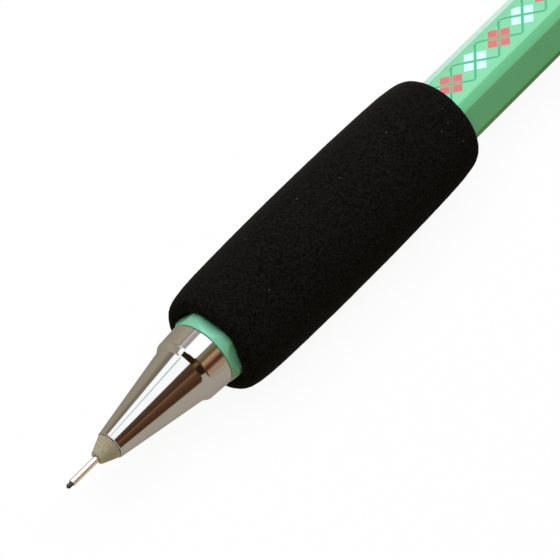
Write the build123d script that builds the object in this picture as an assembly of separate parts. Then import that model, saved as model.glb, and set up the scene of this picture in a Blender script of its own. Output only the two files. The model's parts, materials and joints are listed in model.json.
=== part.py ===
from build123d import *

import math
import os

# All sizes are in millimetres. The pencil lies along X: the front end of the lead
# sleeve is at x = 0, the push button is at +X, and one flat of the barrel faces up (+Z).

# Clearances
press_gap = 0.02
turn_gap = 0.03
seat_gap = 0.05
slide_gap = 0.06
end_gap = 0.10

# Travel of the push button, and of the clutch ring that goes part of the way with it
push_travel = 3.5
ring_travel = 1.15

# Lead, and the fine tube that guides it
lead_radius = 0.28
lead_length = 60.0
lead_showing = 0.74
lead_worn_edge = 0.16
sleeve_radius = 0.42
sleeve_showing = 4.2
sleeve_root_depth = 0.15
sleeve_root_length = 2.95
sleeve_bore = lead_radius + turn_gap
sleeve_root_radius = sleeve_radius + 0.10
sleeve_root_front = sleeve_showing + sleeve_root_depth
sleeve_rear = sleeve_root_front + sleeve_root_length

# Small tip piece that carries the sleeve, and the rubber ring behind it
nose_length = 2.16
nose_front_radius = 0.83
nose_rear_radius = 1.68
nose_lip_rounding = 0.22
spigot_radius = 1.25
spigot_length = 1.75
funnel_radius = 0.75
retainer_length = 1.45
retainer_lip = 0.30
nose_front = sleeve_showing
nose_rear = nose_front + nose_length
spigot_rear = nose_rear + spigot_length
retainer_front = spigot_rear + seat_gap
retainer_rear = retainer_front + retainer_length

# Plated front cone: cone, shoulder and band
cone_length = 12.28
cone_front_radius = 1.78
cone_front_rounding = 0.14
cone_rear_radius = 3.75
shoulder_length = 0.70
shoulder_rounding = 0.45
band_length = 2.95
band_front_radius = 4.20
band_rear_radius = 4.38
band_joint = 0.06
cone_front = nose_rear + turn_gap
cone_rear = nose_rear + cone_length
band_front = cone_rear + shoulder_length
band_rear = band_front + band_length

# Hexagonal barrel
barrel_length = 107.64
barrel_flats = 8.75
ridge_radius = 4.72
ridge_blend = 0.60
barrel_bore = 3.30
barrel_end_radius = 4.34
barrel_end_rounding = 0.10
flare_length = 1.6
flare_radius = 4.98
flare_rounding = 2.0
barrel_front = band_rear + band_joint
barrel_rear = barrel_front + barrel_length

# Foam grip pushed over the barrel
grip_length = 42.0
grip_radius = 7.40
grip_setback = 1.35
grip_gap = 0.05
grip_ends = (
    (0.0, 0.98, 0.45),
    (1.3, 0.64, 3.0),
    (3.8, 0.31, 12.0),
    (10.0, 0.11, 40.0),
    (17.0, 0.0, 80.0),
)
grip_front = barrel_front + grip_setback
grip_rear = grip_front + grip_length

# Thread bush in the barrel, and the housing of the clutch ring and spring inside it
thread_length = 3.25
thread_radius = 3.20
thread_relief = 0.35
housing_radius = 2.30
flange_radius = 2.80
flange_thickness = 0.80
ring_room_radius = 1.85
ring_seat_depth = 1.40
seat_thickness = 1.20
stem_hole = 1.05
spring_room_radius = 1.95
spring_length = 11.4
bush_front = barrel_front - thread_length
flange_rear = bush_front - press_gap
flange_front = flange_rear - flange_thickness
ring_seat = flange_front + end_gap
housing_front = ring_seat - ring_seat_depth
spring_seat = ring_seat + seat_thickness
bush_rear = spring_seat + spring_length

# Clutch ring and three-jaw chuck
ring_length = 1.75
ring_radius = 1.75
head_reach = 2.3
head_radius = 1.45
head_land = 0.6
waist_radius = 1.06
stem_radius = 0.95
stem_tail = 2.4
jaw_bore = lead_radius + press_gap
stem_bore = 0.53
slit_width = 0.24
slit_margin = 4.6
jaw_count = 3
ring_rear = ring_seat - seat_gap
ring_front = ring_rear - ring_length
chuck_front = ring_front - head_reach
taper_front = chuck_front + 2 * head_land
stem_rear = bush_rear + stem_tail
slit_rear = bush_rear - slit_margin

# Rooms inside the front cone
chuck_room_radius = 1.60
housing_room_radius = housing_radius + 0.12
flange_room_radius = flange_radius + 0.10
chuck_room_front = retainer_rear + end_gap
ring_stop = ring_front - ring_travel - seat_gap
housing_room_front = housing_front - end_gap
flange_room_front = flange_front - seat_gap
socket_front = bush_front - seat_gap
socket_radius = thread_radius + seat_gap

# Return spring
wire_radius = 0.16
coil_radius = 1.50
coil_turns = 7

# Lead tube and the joint between it and the chuck
tube_radius = 2.20
tube_bore = 1.70
tube_setback = 5.6
connector_radius = 1.85
connector_flange = 1.4
connector_plug = 4.0
connector_mouth = 1.40
connector_front = bush_rear
connector_flange_front = connector_front + push_travel + end_gap
tube_front = connector_flange_front + connector_flange
connector_rear = tube_front + connector_plug
tube_rear = barrel_rear - tube_setback
spare_front = connector_rear + 1.4
spare_rest = tube_bore - lead_radius - 0.04
spare_angles = (-103.5, -76.5)

# Push button and the bush that guides it
button_radius = 2.80
button_showing = 10.6
button_wall = 2.6
button_dome = 1.2
button_edge = 0.5
skirt_radius = 2.60
skirt_length = 10.6
skirt_showing = 0.5
tail_length = 6.1
tail_rim = 0.8
tail_rim_radius = 3.75
tail_rim_rounding = 0.35
tail_rear = barrel_rear + tail_rim
button_front = barrel_rear - skirt_length
button_rear = tail_rear + button_showing
button_bore = tube_radius + turn_gap
skirt_rear = tail_rear + skirt_showing

# Eraser, its cup and the clean-out wire
ferrule_plug = 4.5
ferrule_cup = 6.0
ferrule_bore = 1.95
ferrule_floor = 0.6
eraser_room_radius = 2.05
eraser_room = 0.8
eraser_rounding = 0.5
wire_pin_radius = 0.22
wire_pin_length = 17.4
ferrule_front = tube_rear - ferrule_plug
ferrule_rear = tube_rear + ferrule_cup
eraser_front = tube_rear + ferrule_floor
eraser_room_rear = button_rear - button_wall
eraser_rear = eraser_room_rear - eraser_room
eraser_radius = ferrule_bore - press_gap
wire_pin_rear = tube_rear - ferrule_floor
wire_pin_front = wire_pin_rear - wire_pin_length


def turned(corners):
    """A solid turned about X from its half outline.

    Each corner is (x, radius), or (x, radius, rounding) where the edge is rounded.
    """
    outline = make_face(Polyline(*[corner[:2] for corner in corners], close=True))
    for corner in corners:
        if len(corner) == 3:
            spot = Vector(corner[0], corner[1], 0)
            vertex = min(outline.vertices(), key=lambda v: (v.center() - spot).length)
            outline = fillet(vertex, corner[2])
    return revolve(outline, Axis.X)


def rod(x_from, x_to, radius):
    """A plain round bar on the pencil's axis."""
    return turned([(x_from, 0), (x_from, radius), (x_to, radius), (x_to, 0)])


def hexagon_bar(x_from, x_to, spread):
    """A six-sided bar whose ridges are turned down to a round, with flats facing up and down.

    Its flats and ridges lie further out than the barrel's by the spread.
    """
    hexagon = RegularPolygon(barrel_flats / 2 + spread, 6, major_radius=False)
    section = hexagon & Circle(ridge_radius + spread)
    section = fillet(section.vertices(), ridge_blend)
    return extrude(Plane.YZ.offset(x_from) * section, x_to - x_from)


def make_lead():
    """The lead in use, with a worn front edge."""
    front = -lead_showing
    rear = front + lead_length
    return turned([
        (front, 0),
        (front, lead_radius - lead_worn_edge),
        (front + lead_worn_edge, lead_radius),
        (rear, lead_radius),
        (rear, 0),
    ])


def make_lead_sleeve():
    """The fine tube that guides the lead, with a thicker root held in the tip piece."""
    return turned([
        (0, sleeve_bore),
        (0, sleeve_radius),
        (sleeve_root_front, sleeve_radius),
        (sleeve_root_front, sleeve_root_radius),
        (sleeve_rear, sleeve_root_radius),
        (sleeve_rear, sleeve_bore),
    ])


def make_tip_nose():
    """The small satin cone at the tip, with the spigot that goes into the front cone."""
    bore = sleeve_root_radius + press_gap
    throat = sleeve_bore + turn_gap
    throat_front = sleeve_rear + press_gap
    return turned([
        (nose_front, bore),
        (nose_front, nose_front_radius, nose_lip_rounding),
        (nose_rear, nose_rear_radius, 2 * turn_gap),
        (nose_rear, spigot_radius),
        (spigot_rear, spigot_radius),
        (spigot_rear, funnel_radius),
        (throat_front + (spigot_rear - throat_front) / 3, throat),
        (throat_front, throat),
        (throat_front, bore),
    ])


def make_lead_retainer():
    """The rubber ring that keeps the lead from falling back out."""
    lip_radius = lead_radius + press_gap
    lip_front = retainer_front + (retainer_length - retainer_lip) / 2
    return turned([
        (retainer_front, lip_radius + retainer_lip),
        (retainer_front, spigot_radius),
        (retainer_rear, spigot_radius),
        (retainer_rear, lip_radius + retainer_lip),
        (lip_front + retainer_lip, lip_radius),
        (lip_front, lip_radius),
    ])


def make_nose_cone():
    """The plated front cone: cone, shoulder and band outside, clutch rooms inside."""
    spigot_bore = spigot_radius + turn_gap
    band_start = band_front + 2 * shoulder_rounding
    lead_in = 3 * seat_gap
    return turned([
        (cone_front, spigot_bore),
        (cone_front, cone_front_radius, cone_front_rounding),
        (cone_rear, cone_rear_radius, shoulder_rounding),
        (band_front, band_front_radius, shoulder_rounding),
        (band_start, band_front_radius + seat_gap, 2 * shoulder_rounding),
        (band_rear, band_rear_radius, 2 * seat_gap),
        (band_rear, socket_radius + lead_in),
        (band_rear - lead_in, socket_radius),
        (socket_front, socket_radius),
        (socket_front, flange_room_radius),
        (flange_room_front, flange_room_radius),
        (flange_room_front, housing_room_radius),
        (housing_room_front, housing_room_radius),
        (housing_room_front, ring_room_radius),
        (ring_stop, ring_room_radius),
        (ring_stop, chuck_room_radius),
        (chuck_room_front, chuck_room_radius),
        (chuck_room_front, spigot_bore),
    ])


def make_thread_bush():
    """The brass bush in the barrel that the front cone screws on to."""
    bore = housing_radius + press_gap
    lead_in = 3 * seat_gap
    root = thread_radius - thread_relief / 2
    return turned([
        (bush_front, bore),
        (bush_front, thread_radius - lead_in),
        (bush_front + lead_in, thread_radius),
        (barrel_front - thread_relief, thread_radius),
        (barrel_front - thread_relief, root),
        (barrel_front, root),
        (barrel_front, barrel_bore - press_gap),
        (bush_rear, barrel_bore - press_gap),
        (bush_rear, bore),
    ])


def make_ring_housing():
    """The sleeve that seats the clutch ring in front and the spring behind."""
    return turned([
        (housing_front, ring_room_radius),
        (housing_front, housing_radius),
        (flange_front, housing_radius),
        (flange_front, flange_radius),
        (flange_rear, flange_radius),
        (flange_rear, housing_radius),
        (bush_rear, housing_radius),
        (bush_rear, spring_room_radius),
        (spring_seat, spring_room_radius),
        (spring_seat, stem_hole),
        (ring_seat, stem_hole),
        (ring_seat, ring_room_radius),
    ])


def chuck_taper(x):
    """Radius of the chuck's closing taper at x."""
    share = (x - taper_front) / (ring_seat - taper_front)
    return head_radius + share * (waist_radius - head_radius)


def make_chuck_ring():
    """The loose ring that closes the jaws on the lead."""
    return turned([
        (ring_front, chuck_taper(ring_front) + turn_gap),
        (ring_front, ring_radius - end_gap),
        (ring_front + end_gap, ring_radius),
        (ring_rear - end_gap, ring_radius),
        (ring_rear, ring_radius - end_gap),
        (ring_rear, chuck_taper(ring_rear) + turn_gap),
    ])


def make_chuck():
    """The three-jaw chuck: a tapered head and a slit stem, in one piece."""
    bore_step = ring_seat + head_land
    jaws = turned([
        (chuck_front, jaw_bore),
        (chuck_front, head_radius - head_land / 2),
        (chuck_front + head_land / 2, head_radius),
        (taper_front, head_radius),
        (ring_seat, waist_radius),
        (ring_seat + end_gap, stem_radius),
        (stem_rear, stem_radius),
        (stem_rear, stem_bore),
        (bore_step + stem_bore - jaw_bore, stem_bore),
        (bore_step, jaw_bore),
    ])
    slit_length = slit_rear - chuck_front + end_gap
    slit = Pos(slit_rear - slit_length / 2, 0, head_radius) * Box(
        slit_length, slit_width, 2 * head_radius
    )
    for jaw in range(jaw_count):
        jaws -= Rot(jaw * 360 / jaw_count, 0, 0) * slit
    return jaws


def make_chuck_connector():
    """The joint between chuck and lead tube, with the funnel that lines up the next lead."""
    socket = stem_radius + press_gap
    socket_rear = stem_rear + press_gap
    return turned([
        (connector_front, socket),
        (connector_front, connector_radius),
        (connector_flange_front, connector_radius),
        (connector_flange_front, tube_radius),
        (tube_front, tube_radius),
        (tube_front, tube_bore - press_gap),
        (connector_rear, tube_bore - press_gap),
        (connector_rear, connector_mouth),
        (socket_rear + end_gap, stem_bore),
        (socket_rear, stem_bore),
        (socket_rear, socket),
    ])


def make_lead_tube():
    """The tube that stores the leads and pushes the chuck."""
    return turned([
        (tube_front, tube_bore),
        (tube_front, tube_radius),
        (tube_rear, tube_radius),
        (tube_rear, tube_bore),
    ])


def make_spare_leads():
    """Two spare leads lying on the floor of the tube."""
    spare = Pos(0, spare_rest, 0) * rod(spare_front, spare_front + lead_length, lead_radius)
    return Compound(children=[(Rot(angle, 0, 0) * spare).solid() for angle in spare_angles])


def make_eraser_ferrule():
    """The thin cup that holds the eraser and plugs the lead tube."""
    pin_hole = wire_pin_radius + press_gap
    return turned([
        (ferrule_front, pin_hole),
        (ferrule_front, tube_bore - press_gap),
        (tube_rear, tube_bore - press_gap),
        (tube_rear, tube_radius),
        (ferrule_rear, tube_radius),
        (ferrule_rear, ferrule_bore),
        (eraser_front - press_gap, ferrule_bore),
        (eraser_front - press_gap, ferrule_floor),
        (wire_pin_rear + press_gap, ferrule_floor),
        (wire_pin_rear + press_gap, pin_hole),
    ])


def make_eraser():
    """The eraser, with a rounded end."""
    return turned([
        (eraser_front, 0),
        (eraser_front, eraser_radius),
        (eraser_rear, eraser_radius, eraser_rounding),
        (eraser_rear, 0),
    ])


def make_push_button():
    """The hollow cap that is pressed with the thumb."""
    stop = ferrule_rear + seat_gap
    return turned([
        (button_front, button_bore + end_gap),
        (button_front, skirt_radius),
        (skirt_rear, skirt_radius),
        (skirt_rear, button_radius),
        (button_rear - button_edge, button_radius, button_edge),
        (button_rear, button_radius - 2 * button_edge, button_dome),
        (button_rear, 0),
        (eraser_room_rear, 0),
        (eraser_room_rear, eraser_room_radius),
        (stop, eraser_room_radius),
        (stop, button_bore),
        (button_front + end_gap, button_bore),
    ])


def make_tail_bush():
    """The plated ring in the rear of the barrel that guides the button."""
    bore = button_radius + slide_gap
    return turned([
        (barrel_rear - tail_length, bore),
        (barrel_rear - tail_length, barrel_bore - press_gap),
        (barrel_rear, barrel_bore - press_gap),
        (barrel_rear, tail_rim_radius),
        (tail_rear, tail_rim_radius, tail_rim_rounding),
        (tail_rear, bore + end_gap),
        (tail_rear - end_gap, bore),
    ])


def make_barrel():
    """The hexagonal barrel, turned down at both ends so that its ridges fade into a round edge."""
    bar = hexagon_bar(barrel_front, barrel_rear, 0)
    envelope = turned([
        (barrel_front, 0),
        (barrel_front, barrel_end_radius, barrel_end_rounding),
        (barrel_front + flare_length, flare_radius, flare_rounding),
        (barrel_rear - flare_length, flare_radius, flare_rounding),
        (barrel_rear, barrel_end_radius, barrel_end_rounding),
        (barrel_rear, 0),
    ])
    hole = rod(barrel_front - end_gap, barrel_rear + end_gap, barrel_bore)
    return (bar & envelope) - hole


def make_foam_grip():
    """The soft sleeve: a slightly barrelled tube with rounded ends, stretched over the hexagon."""
    front_half = [(grip_front + step, grip_radius - drop, r) for step, drop, r in grip_ends]
    rear_half = [(grip_rear - step, grip_radius - drop, r) for step, drop, r in reversed(grip_ends)]
    sleeve = turned([(grip_front, 0), *front_half, *rear_half, (grip_rear, 0)])
    hollow = hexagon_bar(grip_front - end_gap, grip_rear + end_gap, grip_gap)
    return sleeve - hollow


def coil_point(turn):
    """Point on the spring's centre line after so many turns."""
    front = spring_seat + wire_radius + press_gap
    rear = connector_front - wire_radius - press_gap
    angle = 2 * math.pi * turn
    return Vector(
        front + (rear - front) * turn / coil_turns,
        coil_radius * math.cos(angle),
        coil_radius * math.sin(angle),
    )


def coil_heading(turn):
    """Unit direction of the wire after so many turns."""
    angle = 2 * math.pi * turn
    pitch = (coil_point(1) - coil_point(0)).X
    return Vector(
        pitch / (2 * math.pi), -coil_radius * math.sin(angle), coil_radius * math.cos(angle)
    ).normalized()


def biarc(start, start_heading, end, end_heading):
    """Two arcs that leave one point and reach another in the given directions."""
    span = end - start
    along = span.dot(start_heading + end_heading)
    bend = 2 * (1 - start_heading.dot(end_heading))
    reach = (math.sqrt(along * along + bend * span.dot(span)) - along) / bend
    middle = (start + start_heading * reach + end - end_heading * reach) * 0.5
    first = Edge.make_tangent_arc(start, start_heading, middle)
    second = Edge.make_tangent_arc(middle, first.tangent_at(1), end)
    return [first, second]


def make_return_spring():
    """The spring that draws the chuck back into its ring, as one unbroken wire."""
    arcs = []
    for step in range(4 * coil_turns):
        here = step / 4
        there = (step + 1) / 4
        arcs += biarc(coil_point(here), coil_heading(here), coil_point(there), coil_heading(there))
    wire = Plane(coil_point(0), z_dir=coil_heading(0)) * Circle(wire_radius)
    return sweep(wire, path=Wire(arcs))


def least_coil_gap():
    """Smallest clear distance between one turn of the spring and another."""
    samples = 24
    points = [coil_point(step / samples) for step in range(samples * coil_turns + 1)]
    nearest = min(
        (points[j] - points[i]).length
        for i in range(len(points))
        for j in range(i + samples // 2, len(points))
    )
    return nearest - 2 * wire_radius


pieces = {
    "lead": make_lead(),
    "lead_sleeve": make_lead_sleeve(),
    "tip_nose": make_tip_nose(),
    "lead_retainer": make_lead_retainer(),
    "nose_cone": make_nose_cone(),
    "thread_bush": make_thread_bush(),
    "ring_housing": make_ring_housing(),
    "chuck_ring": make_chuck_ring(),
    "chuck": make_chuck(),
    "return_spring": make_return_spring(),
    "chuck_connector": make_chuck_connector(),
    "lead_tube": make_lead_tube(),
    "spare_leads": make_spare_leads(),
    "eraser_ferrule": make_eraser_ferrule(),
    "eraser": make_eraser(),
    "eraser_pin": rod(wire_pin_front, wire_pin_rear, wire_pin_radius),
    "push_button": make_push_button(),
    "tail_bush": make_tail_bush(),
    "barrel": make_barrel(),
    "foam_grip": make_foam_grip(),
}

os.makedirs("parts", exist_ok=True)
for name, piece in pieces.items():
    export_step(piece, f"parts/{name}.step")
    print(f"{name}: {piece.volume:.3f} mm3")
print(f"least gap between turns of the spring: {least_coil_gap():.2f} mm")
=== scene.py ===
"""Looks of a push-button pencil with a thick foam grip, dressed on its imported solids.

Lengths are in metres, apart from those that say millimetres. The pencil lies along X with
the front end of its lead sleeve at the origin, its push button at +X, and a flat of its
hexagonal barrel facing up.
"""

import json
import logging
import math
from abc import ABC, abstractmethod
from dataclasses import dataclass
from enum import Enum
from typing import Any, Callable, Union

import bpy
from mathutils import Matrix, Vector


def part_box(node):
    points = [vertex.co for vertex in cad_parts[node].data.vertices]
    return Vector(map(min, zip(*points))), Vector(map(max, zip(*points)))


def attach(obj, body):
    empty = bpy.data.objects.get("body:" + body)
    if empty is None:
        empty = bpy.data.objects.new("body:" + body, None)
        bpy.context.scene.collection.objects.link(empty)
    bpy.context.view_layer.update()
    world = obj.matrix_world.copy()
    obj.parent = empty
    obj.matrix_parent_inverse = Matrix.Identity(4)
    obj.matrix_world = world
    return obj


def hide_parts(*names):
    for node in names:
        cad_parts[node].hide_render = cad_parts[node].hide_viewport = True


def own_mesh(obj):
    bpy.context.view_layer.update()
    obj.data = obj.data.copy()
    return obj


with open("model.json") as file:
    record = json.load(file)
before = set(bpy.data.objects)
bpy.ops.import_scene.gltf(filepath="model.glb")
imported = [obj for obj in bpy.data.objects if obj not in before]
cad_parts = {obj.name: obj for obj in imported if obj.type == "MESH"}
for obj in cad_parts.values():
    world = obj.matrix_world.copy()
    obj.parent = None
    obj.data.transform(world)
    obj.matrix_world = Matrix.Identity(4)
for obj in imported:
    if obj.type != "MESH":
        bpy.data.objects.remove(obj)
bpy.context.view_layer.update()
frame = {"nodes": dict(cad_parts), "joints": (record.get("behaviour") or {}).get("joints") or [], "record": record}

log = logging.getLogger("pencil")

MM = 0.001
BARREL_SIDES = 6
WHITE = (1.0, 1.0, 1.0)

# Edges that turn by more than this stay sharp: on foam and wire, and on cut metal.
SOFT_CREASE = math.radians(50.0)
CUT_CREASE = math.radians(30.0)

Colour = tuple[float, float, float]
Scales = tuple[float, float, float]
Stops = tuple[tuple[float, Colour], ...]
Axes = tuple["Value", "Value", "Value"]
Key = Union[int, str]


class Value:
    """A shader socket that Python arithmetic turns into Math nodes."""

    def __init__(self, recipe: "Recipe", socket: bpy.types.NodeSocket) -> None:
        """Wraps one output socket of a recipe's node tree."""
        self.recipe = recipe
        self.socket = socket

    def maths(self, operation: str, first: Any, second: Any = 0.0) -> "Value":
        """Adds one Math node.

        Args:
            operation: Name of the Math node's operation.
            first: Its first input, a value or a number.
            second: Its second input, a value or a number.

        Returns:
            The node's result.
        """
        return self.recipe.node(
            "ShaderNodeMath", {"operation": operation}, {0: first, 1: second}
        )

    def __add__(self, other: Any) -> "Value":
        """This value plus another."""
        return self.maths("ADD", self, other)

    def __radd__(self, other: Any) -> "Value":
        """A number plus this value."""
        return self.maths("ADD", other, self)

    def __sub__(self, other: Any) -> "Value":
        """This value less another."""
        return self.maths("SUBTRACT", self, other)

    def __rsub__(self, other: Any) -> "Value":
        """A number less this value."""
        return self.maths("SUBTRACT", other, self)

    def __mul__(self, other: Any) -> "Value":
        """This value times another."""
        return self.maths("MULTIPLY", self, other)

    def __rmul__(self, other: Any) -> "Value":
        """A number times this value."""
        return self.maths("MULTIPLY", other, self)

    def __abs__(self) -> "Value":
        """This value without its sign."""
        return self.maths("ABSOLUTE", self)

    def __lt__(self, other: Any) -> "Value":
        """1 where this value is below another, else 0."""
        return self.maths("LESS_THAN", self, other)

    def __gt__(self, other: Any) -> "Value":
        """1 where this value is above another, else 0."""
        return self.maths("GREATER_THAN", self, other)

    def whole(self) -> "Value":
        """The nearest whole number."""
        return self.maths("ROUND", self)

    def root(self) -> "Value":
        """The square root."""
        return self.maths("SQRT", self)

    def angle_over(self, other: "Value") -> "Value":
        """The angle, in radians, whose tangent is this value over another."""
        return self.maths("ARCTAN2", self, other)

    def larger(self, other: "Value") -> "Value":
        """The larger of this value and another."""
        return self.maths("MAXIMUM", self, other)

    def ramp(self, low: float, high: float) -> "Value":
        """A soft step that rises from 0 at low to 1 at high."""
        return self.recipe.node(
            "ShaderNodeMapRange",
            {"interpolation_type": "SMOOTHSTEP"},
            {"Value": self, "From Min": low, "From Max": high},
        )


class Recipe:
    """A node tree that nodes are added to."""

    def __init__(self, tree: bpy.types.NodeTree) -> None:
        """Takes up a node tree."""
        self.tree = tree

    def fill(self, socket: bpy.types.NodeSocket, value: Any) -> None:
        """Links a value to an input socket, or sets a number or colour on it.

        Args:
            socket: The input socket.
            value: A Value, a number, or a colour or vector of three numbers.
        """
        if isinstance(value, Value):
            self.tree.links.new(value.socket, socket)
        elif socket.type == "RGBA":
            socket.default_value = (*value, 1.0)
        else:
            socket.default_value = value

    def node(
        self,
        kind: str,
        settings: dict[str, Any],
        sockets: dict[Key, Any],
        output: Key = 0,
    ) -> Value:
        """Adds one node.

        Args:
            kind: The node's type.
            settings: Attributes of the node, set first.
            sockets: Values or links of its input sockets, by name or place.
            output: Which output is returned.

        Returns:
            The chosen output.
        """
        made = self.tree.nodes.new(kind)
        for name, setting in settings.items():
            if name == "stops":
                self.set_stops(made.color_ramp.elements, setting)
            else:
                setattr(made, name, setting)
        for key, value in sockets.items():
            self.fill(made.inputs[key], value)
        return Value(self, made.outputs[output])

    @staticmethod
    def set_stops(elements: Any, stops: Stops) -> None:
        """Gives a colour ramp its stops.

        Args:
            elements: The ramp's elements, two at first.
            stops: Place and colour of each stop, in order.
        """
        for place, _ in stops[1:-1]:
            elements.new(place)
        for element, (place, colour) in zip(elements, stops):
            element.position = place
            element.color = (*colour, 1.0)

    def place(self) -> Value:
        """The point on the piece, in metres."""
        return self.node("ShaderNodeTexCoord", {}, {}, "Object")

    def axes(self) -> Axes:
        """Splits the point on the piece into its coordinates.

        Returns:
            The three coordinates, in millimetres.
        """
        split = self.node("ShaderNodeSeparateXYZ", {}, {0: self.place()})
        outputs = split.socket.node.outputs
        return tuple(Value(self, socket) * (1 / MM) for socket in outputs)

    def noise(self, point: Value, scale: float, detail: float) -> Value:
        """Soft random variation between about 0.2 and 0.8.

        Args:
            point: Where the pattern is read.
            scale: Features to a unit of length.
            detail: Number of finer layers.

        Returns:
            The variation.
        """
        return self.node(
            "ShaderNodeTexNoise", {}, {"Vector": point, "Scale": scale, "Detail": detail}
        )

    def streaks(self, axes: Axes, scales: Scales, detail: float) -> Value:
        """Soft random variation that is drawn out in some directions.

        Args:
            axes: The three coordinates of the point, in millimetres.
            scales: Features to a millimetre along each of them.
            detail: Number of finer layers.

        Returns:
            The variation.
        """
        parts = [value * scale for value, scale in zip(axes, scales)]
        point = self.node("ShaderNodeCombineXYZ", {}, dict(enumerate(parts)))
        return self.noise(point, 1.0, detail)

    def cells(self, point: Value, scale: float) -> Value:
        """Distance to the nearest of many scattered points.

        Args:
            point: Where the pattern is read.
            scale: Cells to a unit of length.

        Returns:
            The distance, in cells.
        """
        return self.node("ShaderNodeTexVoronoi", {}, {"Vector": point, "Scale": scale})

    def blend(self, share: Any, first: Any, second: Any) -> Value:
        """Mixes two colours.

        Args:
            share: Share of the second colour.
            first: First colour.
            second: Second colour.

        Returns:
            The mixed colour.
        """
        # The Mix node repeats its socket names for each type of data, so they go by place.
        sockets = {0: share, 6: first, 7: second}
        return self.node("ShaderNodeMix", {"data_type": "RGBA"}, sockets, 2)

    def show(self, output: str, shader: Value) -> None:
        """Links a shader to the tree's output node of that name."""
        self.fill(self.tree.nodes[output].inputs["Surface"], shader)


class Surface(Recipe):
    """The node tree of one material."""

    def __init__(self, name: str) -> None:
        """Starts a material with a bare Principled shader.

        Args:
            name: The material's name.
        """
        self.material = bpy.data.materials.new(name)
        self.material.use_nodes = True
        super().__init__(self.material.node_tree)
        self.shader = self.tree.nodes["Principled BSDF"]

    def bump(self, height: Value, strength: float, depth: float) -> None:
        """Raises the surface by a height.

        Args:
            height: The height, between about 0 and 1.
            strength: How strongly it shows.
            depth: The real height of 1, in metres.
        """
        sockets = {"Height": height, "Strength": strength, "Distance": depth}
        self.set(Normal=self.node("ShaderNodeBump", {}, sockets))

    def set(self, **sockets: Any) -> None:
        """Sets or links sockets of the shader, with _ for each space in their names."""
        for name, value in sockets.items():
            self.fill(self.shader.inputs[name.replace("_", " ")], value)


def lighter(colour: Colour, factor: float) -> Colour:
    """A colour times a factor, kept within 0 to 1."""
    return tuple(min(1.0, part * factor) for part in colour)


class Finish(ABC):
    """A finish that makes a material of its own."""

    def make(self, name: str) -> bpy.types.Material:
        """Builds the material.

        Args:
            name: The material's name.

        Returns:
            The material.
        """
        recipe = Surface(name)
        self.paint(recipe)
        return recipe.material

    @abstractmethod
    def paint(self, recipe: Surface) -> None:
        """Sets up the shader of the finish in a material's node tree."""


class Grain(Enum):
    """How a metal was worked, as marks to a millimetre along X, Y and Z."""

    TURNED = (9.0, 0.25, 0.25)
    DRAWN = (0.25, 12.0, 12.0)
    BLASTED = (9.0, 9.0, 9.0)


@dataclass(frozen=True)
class Metal(Finish):
    """A plated or bare metal.

    Attributes:
        colour: Reflected colour.
        roughness: Roughness of the clean surface.
        grain: How it was worked.
        relief: Strength of the grain's relief.
        haze: How far handling dulls it.
        edge: How bright it is at a glancing angle, against its colour.
        marks: Finger marks to a metre.
        hairlines: Fine scratches to a millimetre along X, Y and Z.
        depth: Height of the grain.
    """

    colour: Colour
    roughness: float
    grain: Grain
    relief: float
    haze: float
    edge: float = 1.3
    marks: float = 260.0
    hairlines: Scales = (0.6, 14.0, 14.0)
    depth: float = 0.01 * MM

    def paint(self, recipe: Surface) -> None:
        """Sets up worked metal with finger marks and hairline scratches.

        Args:
            recipe: The material's node tree.
        """
        axes = recipe.axes()
        work = recipe.streaks(axes, self.grain.value, 4.0)
        touch = recipe.noise(recipe.place(), self.marks, 4.0).ramp(0.45, 0.75)
        scratch = recipe.streaks(axes, self.hairlines, 2.0).ramp(0.66, 0.72)
        dull = touch * self.haze + scratch * (0.5 * self.haze)
        recipe.set(
            Base_Color=recipe.blend(touch * 0.5, self.colour, lighter(self.colour, 0.9)),
            Metallic=1.0,
            Roughness=(work - 0.5) * (0.5 * self.relief) + dull + self.roughness,
            Specular_Tint=lighter(self.colour, self.edge),
        )
        recipe.bump(work, self.relief, self.depth)


@dataclass(frozen=True)
class Plastic(Finish):
    """A moulded plastic.

    Attributes:
        colour: Colour of the plastic.
        roughness: Roughness of the clean surface.
        ripple: Strength of the mould's faint unevenness.
        clouds: Faint clouds in its colour to a metre.
        ripples: Ripples of the mould to a metre.
        depth: Height of the ripples.
    """

    colour: Colour
    roughness: float
    ripple: float
    clouds: float = 220.0
    ripples: float = 2600.0
    depth: float = 0.02 * MM

    def paint(self, recipe: Surface) -> None:
        """Sets up clouded plastic with the mould's ripples.

        Args:
            recipe: The material's node tree.
        """
        point = recipe.place()
        cloud = recipe.noise(point, self.clouds, 2.0)
        skin = recipe.noise(point, self.ripples, 3.0)
        recipe.set(
            Base_Color=recipe.blend(cloud, lighter(self.colour, 0.93), lighter(self.colour, 1.05)),
            Roughness=(skin - 0.5) * 0.2 + self.roughness,
            IOR=1.49,
        )
        recipe.bump(skin, self.ripple, self.depth)


@dataclass(frozen=True)
class Rubber(Finish):
    """A soft solid rubber.

    Attributes:
        colour: Colour of the clean rubber.
        soiled: Colour of its rubbed patches.
        wear: How much of it is rubbed.
        patches: Rubbed patches to a metre.
        crumbs: Crumbs of its surface to a metre.
        depth: Height of the crumbs.
    """

    colour: Colour
    soiled: Colour
    wear: float
    patches: float = 700.0
    crumbs: float = 5200.0
    depth: float = 0.03 * MM

    def paint(self, recipe: Surface) -> None:
        """Sets up crumbly rubber with rubbed patches.

        Args:
            recipe: The material's node tree.
        """
        point = recipe.place()
        rubbed = recipe.noise(point, self.patches, 5.0).ramp(0.45, 0.7)
        crumb = recipe.noise(point, self.crumbs, 3.0)
        recipe.set(
            Base_Color=recipe.blend(rubbed * self.wear, self.colour, self.soiled),
            Roughness=crumb * 0.2 + 0.7,
            Specular_IOR_Level=0.3,
        )
        recipe.bump(crumb, 0.25, self.depth)


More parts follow.
